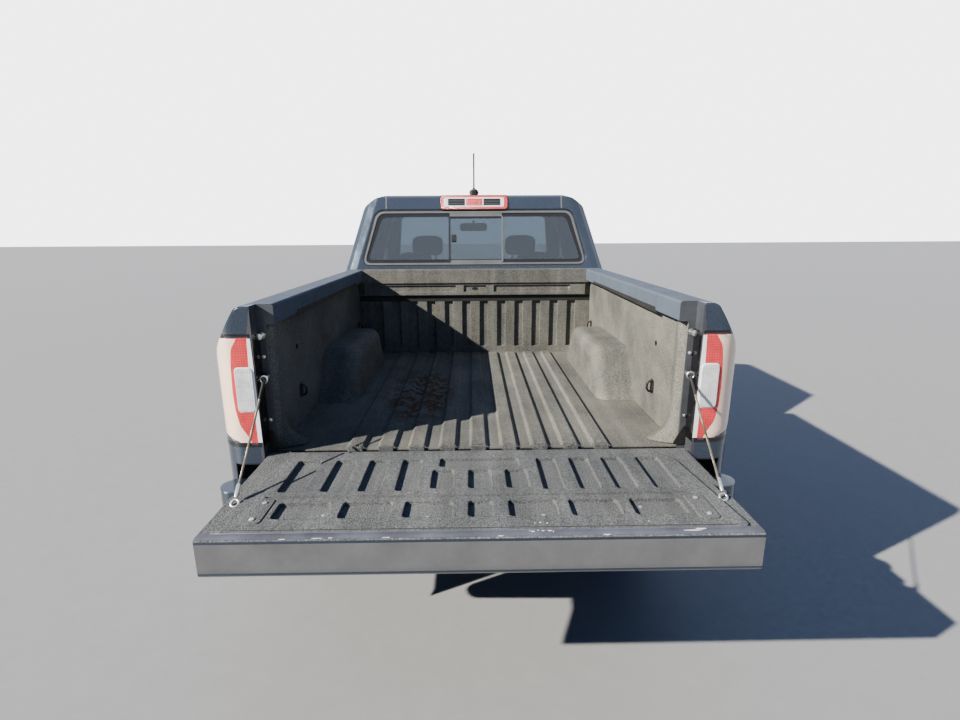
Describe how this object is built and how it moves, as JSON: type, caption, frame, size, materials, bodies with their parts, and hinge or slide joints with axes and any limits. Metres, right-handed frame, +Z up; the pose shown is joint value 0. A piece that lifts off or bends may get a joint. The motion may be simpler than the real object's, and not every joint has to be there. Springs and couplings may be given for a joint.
{
  "type": "pickup truck",
  "caption": "Mid-size crew-cab pickup truck with a short open load box, its tailgate lying open on cables, standing on its wheels.",
  "frame": {"origin": "on the ground, midway between the nose and the far edge of the open tailgate, on the centreline", "axes": "+X is the truck's right side, +Y is forward, +Z is up"},
  "size_m": [2.13, 5.7674, 2.099],
  "materials": {
    "paint": "dark slate-blue metallic, gloss",
    "clear_glass": "clear",
    "tinted_glass": "privacy tint",
    "black_plastic": "grained",
    "chassis_steel": "black chassis coating",
    "bed_liner": "sprayed textured liner over sheet steel",
    "clear_lamp": "clear lens",
    "red_lamp": "red lens",
    "cable_steel": "coated strand",
    "exhaust_steel": "dull",
    "cast_block": "cast",
    "seat_fabric": "dark woven",
    "tyre": "rubber",
    "wheel_alloy": "silver painted"
  },
  "bodies": {
    "body": {"antenna": "black_plastic", "bed_floor": "bed_liner", "bed_front_wall": "bed_liner", "bed_side_left": "paint", "bed_side_right": "paint", "cab_shell": "paint", "dashboard": "black_plastic", "engine": "cast_block", "exhaust": "exhaust_steel", "fender_left": "paint", "fender_right": "paint", "frame": "chassis_steel", "front_bumper": "paint", "front_seats": "seat_fabric", "front_structure": "chassis_steel", "front_suspension": "chassis_steel", "fuel_tank": "black_plastic", "grille": "black_plastic", "headlamps": "clear_lamp", "high_lamp": "red_lamp", "leaf_springs": "chassis_steel", "rear_axle": "chassis_steel", "rear_bumper": "paint", "rear_glass": "tinted_glass", "rear_seat": "seat_fabric", "spare_wheel": "tyre", "tail_lamps": "red_lamp", "windshield": "clear_glass"},
    "wheel_front_right": {"tyre_front_right": "tyre", "wheel_front_right": "wheel_alloy"},
    "wheel_front_left": {"tyre_front_left": "tyre", "wheel_front_left": "wheel_alloy"},
    "wheel_rear_right": {"tyre_rear_right": "tyre", "wheel_rear_right": "wheel_alloy"},
    "wheel_rear_left": {"tyre_rear_left": "tyre", "wheel_rear_left": "wheel_alloy"},
    "knuckle_right": {"knuckle_right": "chassis_steel"},
    "knuckle_left": {"knuckle_left": "chassis_steel"},
    "door_front_right": {"door_front_right": "paint", "door_front_glass_right": "clear_glass", "mirror_right": "black_plastic"},
    "door_front_left": {"door_front_left": "paint", "door_front_glass_left": "clear_glass", "mirror_left": "black_plastic"},
    "door_rear_right": {"door_rear_right": "paint", "door_rear_glass_right": "tinted_glass"},
    "door_rear_left": {"door_rear_left": "paint", "door_rear_glass_left": "tinted_glass"},
    "hood": {"hood": "paint"},
    "tailgate": {"tailgate": "paint", "tailgate_cables": "cable_steel"},
    "steering_wheel": {"steering_wheel": "black_plastic"}
  },
  "joints": [
    {"name": "steer_right", "type": "hinge", "parent": "body", "child": "knuckle_right", "pos_m": [0.7, 1.934, 0.381], "axis": [0, 0, 1], "range_deg": [-33, 33]},
    {"name": "wheel_front_right_spin", "type": "hinge", "parent": "knuckle_right", "child": "wheel_front_right", "pos_m": [0.7925, 1.934, 0.381], "axis": [1, 0, 0], "continuous": true},
    {"name": "wheel_rear_right_spin", "type": "hinge", "parent": "body", "child": "wheel_rear_right", "pos_m": [0.7925, -1.324, 0.381], "axis": [1, 0, 0], "continuous": true},
    {"name": "door_front_right_hinge", "type": "hinge", "parent": "body", "child": "door_front_right", "pos_m": [0.909, 1.345, 0.83], "axis": [0, 0, 1], "range_deg": [0, 65]},
    {"name": "door_rear_right_hinge", "type": "hinge", "parent": "body", "child": "door_rear_right", "pos_m": [0.909, 0.301, 0.83], "axis": [0, 0, 1], "range_deg": [0, 65]},
    {"name": "steer_left", "type": "hinge", "parent": "body", "child": "knuckle_left", "pos_m": [-0.7, 1.934, 0.381], "axis": [0, 0, 1], "range_deg": [-33, 33]},
    {"name": "wheel_front_left_spin", "type": "hinge", "parent": "knuckle_left", "child": "wheel_front_left", "pos_m": [-0.7925, 1.934, 0.381], "axis": [1, 0, 0], "continuous": true},
    {"name": "wheel_rear_left_spin", "type": "hinge", "parent": "body", "child": "wheel_rear_left", "pos_m": [-0.7925, -1.324, 0.381], "axis": [1, 0, 0], "continuous": true},
    {"name": "door_front_left_hinge", "type": "hinge", "parent": "body", "child": "door_front_left", "pos_m": [-0.909, 1.345, 0.83], "axis": [0, 0, -1], "range_deg": [0, 65]},
    {"name": "door_rear_left_hinge", "type": "hinge", "parent": "body", "child": "door_rear_left", "pos_m": [-0.909, 0.301, 0.83], "axis": [0, 0, -1], "range_deg": [0, 65]},
    {"name": "hood_hinge", "type": "hinge", "parent": "body", "child": "hood", "pos_m": [0, 1.535, 1.084], "axis": [1, 0, 0], "range_deg": [0, 50]},
    {"name": "tailgate_hinge", "type": "hinge", "parent": "body", "child": "tailgate", "pos_m": [0, -2.335, 0.826], "axis": [-1, 0, 0], "range_deg": [0, 90], "deforming": ["tailgate_cables"]},
    {"name": "steering_wheel_turn", "type": "hinge", "parent": "body", "child": "steering_wheel", "pos_m": [-0.37, 0.88, 1.165], "axis": [0, -0.9135, 0.4067], "range_deg": [-530, 530]}
  ],
  "couplings": [
    {"joint": "steer_right", "follows": "steer_left", "ratio": 1},
    {"joint": "steering_wheel_turn", "follows": "steer_left", "ratio": 16}
  ]
}
